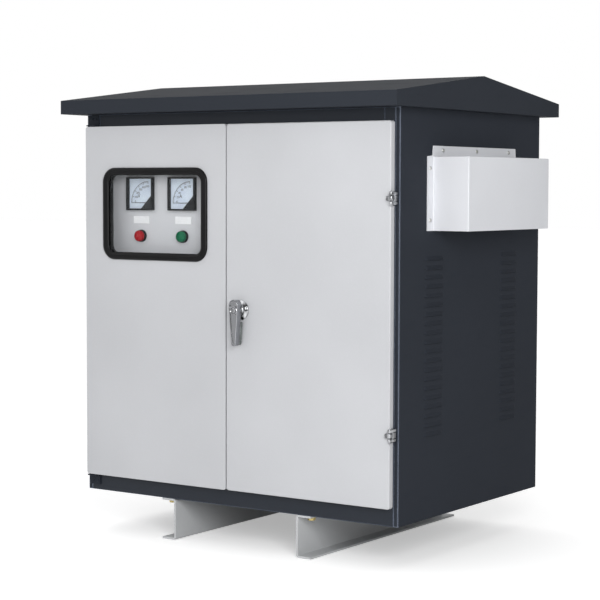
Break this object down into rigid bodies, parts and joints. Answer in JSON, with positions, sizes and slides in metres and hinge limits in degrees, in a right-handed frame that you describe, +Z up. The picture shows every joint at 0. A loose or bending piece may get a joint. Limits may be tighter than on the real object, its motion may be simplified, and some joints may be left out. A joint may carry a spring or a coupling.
{
  "type": "outdoor dry-type transformer cabinet",
  "caption": "Free-standing outdoor transformer cabinet on channel skids, with double doors, a meter window, side louvres, a pitched roof and a side cable hood over a dry-type transformer.",
  "frame": {"origin": "middle of the object's outline at the height the skids stand on", "axes": "+Z up, doors face -Y, cable hood on +X"},
  "size_m": [1.0234, 0.777, 1.108],
  "materials": {
    "dark_paint": "satin dark grey powder coat on folded sheet steel",
    "light_paint": "satin light grey powder coat on folded sheet steel",
    "hood_paint": "satin light grey powder coat on folded sheet steel",
    "skid_paint": "light grey paint over bent steel channel",
    "plate_paint": "satin grey paint on sheet steel",
    "rubber": "black moulded sealing rubber",
    "clear_glass": "clear, polished",
    "black_plastic": "fine-textured black moulding",
    "dial_plastic": "matt printed dial card",
    "label_plastic": "blank white engraving plate",
    "red_lens": "translucent red lamp lens",
    "green_lens": "translucent green lamp lens",
    "chrome": "bright chrome on die-cast zinc",
    "zinc_steel": "zinc-plated steel",
    "core_steel": "varnished electrical-steel laminations",
    "winding_varnish": "copper winding under red-brown insulating varnish",
    "clamp_paint": "blue-grey paint on folded steel channel",
    "insulation_board": "laminated insulating board",
    "copper": "bare copper bar"
  },
  "bodies": {
    "cabinet": {"skid_left": "skid_paint", "skid_right": "skid_paint", "floor_tray": "dark_paint", "front_post_left": "dark_paint", "front_post_right": "dark_paint", "rear_post_left": "dark_paint", "rear_post_right": "dark_paint", "front_top_rail": "dark_paint", "side_panel_left": "dark_paint", "side_panel_right": "dark_paint", "rear_panel": "dark_paint", "roof_soffit": "dark_paint", "roof_canopy": "dark_paint", "pivot_left_upper": "dark_paint", "pivot_left_lower": "dark_paint", "hinge_right_upper_frame_leaf": "chrome", "hinge_right_lower_frame_leaf": "chrome", "instrument_plate": "plate_paint", "voltmeter_case": "black_plastic", "voltmeter_dial": "dial_plastic", "voltmeter_lens": "clear_glass", "ammeter_case": "black_plastic", "ammeter_dial": "dial_plastic", "ammeter_lens": "clear_glass", "red_lamp_label": "label_plastic", "red_lamp_bezel": "black_plastic", "red_lamp_lens": "red_lens", "green_lamp_label": "label_plastic", "green_lamp_bezel": "black_plastic", "green_lamp_lens": "green_lens", "cable_hood": "hood_paint", "gland_plate": "zinc_steel", "core_legs": "core_steel", "core_yoke": "core_steel", "winding_a": "winding_varnish", "winding_b": "winding_varnish", "winding_c": "winding_varnish", "lower_clamp_front": "clamp_paint", "lower_clamp_rear": "clamp_paint", "upper_clamp_front": "clamp_paint", "upper_clamp_rear": "clamp_paint", "terminal_board": "insulation_board", "earth_bar": "copper"},
    "left_leaf": {"left_door": "light_paint", "left_door_seal": "rubber", "window_gasket": "rubber", "window_glass": "clear_glass"},
    "right_leaf": {"right_door": "light_paint", "right_door_seal": "rubber", "handle_escutcheon": "chrome", "hinge_right_upper_door_leaf": "chrome", "hinge_right_lower_door_leaf": "chrome"},
    "lever": {"handle_lever": "chrome", "lock_cam": "zinc_steel"},
    "key": {"key_cylinder": "chrome"},
    "volt_pointer": {"voltmeter_needle": "black_plastic"},
    "amp_pointer": {"ammeter_needle": "black_plastic"}
  },
  "joints": [
    {"name": "left_door_swing", "type": "hinge", "parent": "cabinet", "child": "left_leaf", "pos_m": [-0.4624, -0.3382, 0.5], "axis": [0, 0, -1], "range_deg": [0, 110]},
    {"name": "right_door_swing", "type": "hinge", "parent": "cabinet", "child": "right_leaf", "pos_m": [0.41285, -0.3485, 0.5], "axis": [0, 0, 1], "range_deg": [0, 110]},
    {"name": "lever_turn", "type": "hinge", "parent": "right_leaf", "child": "lever", "pos_m": [0.00135, -0.36, 0.566], "axis": [0, -1, 0], "range_deg": [0, 90]},
    {"name": "key_turn", "type": "hinge", "parent": "lever", "child": "key", "pos_m": [0.00135, -0.36, 0.566], "axis": [0, -1, 0], "range_deg": [0, 90]},
    {"name": "voltmeter_swing", "type": "hinge", "parent": "cabinet", "child": "volt_pointer", "pos_m": [-0.31265, -0.298, 0.8115], "axis": [0, 1, 0], "range_deg": [0, 90], "stiffness_Nm_per_rad": 0.0002},
    {"name": "ammeter_swing", "type": "hinge", "parent": "cabinet", "child": "amp_pointer", "pos_m": [-0.18365, -0.298, 0.8115], "axis": [0, 1, 0], "range_deg": [0, 90], "stiffness_Nm_per_rad": 0.0002}
  ]
}
